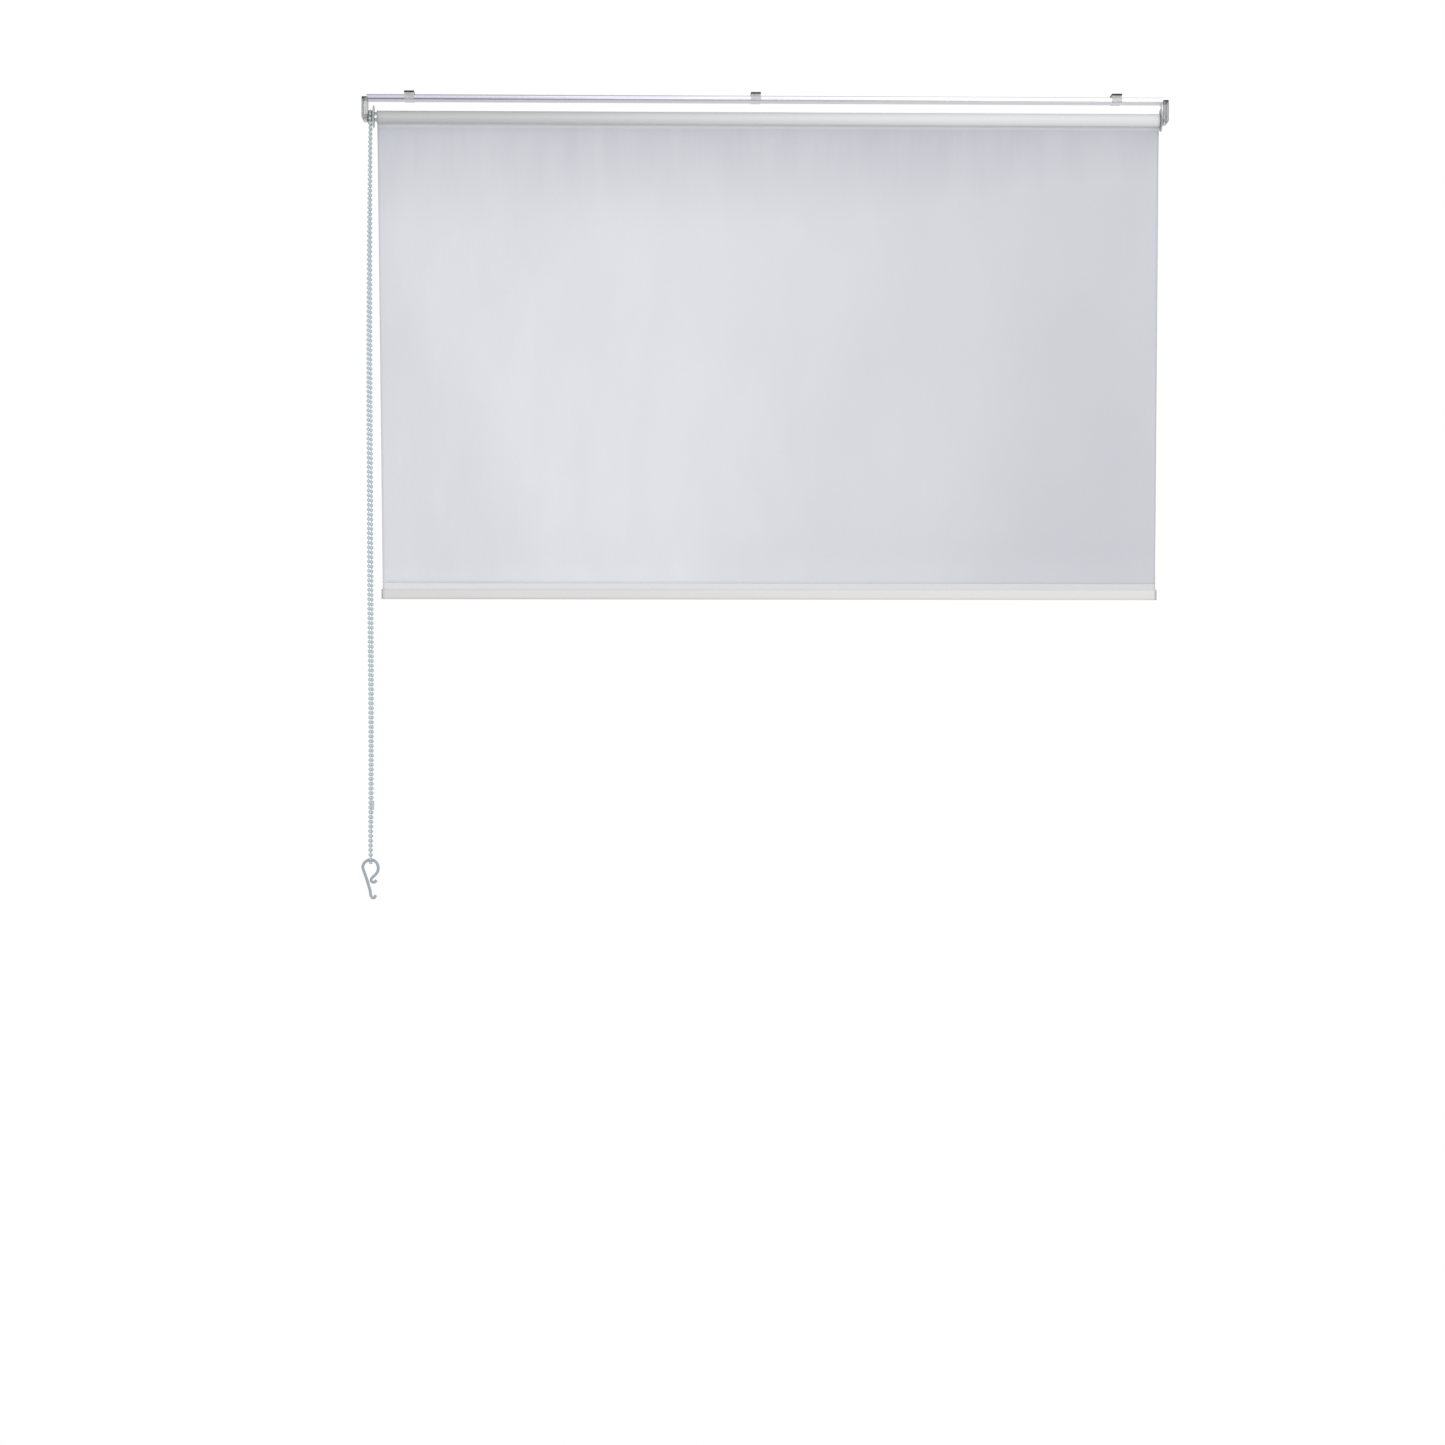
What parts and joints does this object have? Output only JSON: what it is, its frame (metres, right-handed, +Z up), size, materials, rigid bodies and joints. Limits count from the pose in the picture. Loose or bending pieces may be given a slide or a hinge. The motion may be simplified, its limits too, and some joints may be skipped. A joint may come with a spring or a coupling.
{
  "type": "roller blind",
  "caption": "Roller blind on a clip-on aluminium rail, film half lowered, with clear end brackets and a looped bead chain at the left with a hook in it.",
  "frame": {"origin": "middle of the top face of the middle ceiling clip, which lies against the ceiling or window frame", "axes": "+X to the right as seen from the room, along the roller; +Y towards the window, away from the room; +Z up"},
  "size_m": [1.0288, 0.029, 1.0276],
  "materials": {
    "aluminium": "satin",
    "steel": "plain zinc-plated",
    "clear_plastic": "clear, glossy",
    "moulded_plastic": "as moulded",
    "film": "smooth translucent film, pale lavender grey",
    "bar_plastic": "matt",
    "chain_plastic": "translucent bluish white",
    "tape": "matt"
  },
  "bodies": {
    "rail_unit": {"head_rail": "aluminium", "clip_left": "clear_plastic", "clip_middle": "clear_plastic", "clip_right": "clear_plastic", "bracket_left": "clear_plastic", "bracket_right": "clear_plastic", "cover_left": "clear_plastic", "cover_right": "clear_plastic", "clutch_core": "moulded_plastic"},
    "roller": {"roller_tube": "steel", "fixing_tape": "tape", "fabric_roll": "film", "chain_wheel": "moulded_plastic", "drive_plug": "clear_plastic", "wrap_spring_outer": "steel", "wrap_spring_inner": "steel", "idle_plug": "clear_plastic", "idle_spring": "steel"},
    "end_pin": {"idle_pin": "steel"},
    "hem": {"fabric_sheet": "film", "hem_pocket": "bar_plastic", "bottom_bar": "bar_plastic", "bar_cap_left": "clear_plastic", "bar_cap_right": "clear_plastic"},
    "chain": {"bead_chain": "chain_plastic", "chain_connector": "clear_plastic"},
    "hook": {"chain_hook": "chain_plastic"}
  },
  "joints": [
    {"name": "hem_travel", "type": "slide", "parent": "rail_unit", "child": "hem", "axis": [0, 0, -1], "range_m": [-0.576, 0.962], "deforming": ["fabric_sheet"]},
    {"name": "roller_spin", "type": "hinge", "parent": "rail_unit", "child": "roller", "pos_m": [-0.4905, 0, -0.0322], "axis": [1, 0, 0], "range_deg": [-6895, 4130]},
    {"name": "end_pin_slide", "type": "slide", "parent": "roller", "child": "end_pin", "axis": [1, 0, 0], "range_m": [-0.006, 0], "stiffness_N_per_m": 400, "springref_m": 0.004, "deforming": ["idle_spring"]},
    {"name": "chain_swing", "type": "hinge", "parent": "rail_unit", "child": "chain", "pos_m": [-0.4905, 0, -0.0322], "axis": [1, 0, 0], "range_deg": [-50, 10]},
    {"name": "hook_swing", "type": "hinge", "parent": "chain", "child": "hook", "pos_m": [-0.4886, 0, -0.97739], "axis": [1, 0, 0], "range_deg": [-70, 70]}
  ],
  "couplings": [
    {"joint": "roller_spin", "follows": "hem_travel", "rad_per_m": -125}
  ]
}
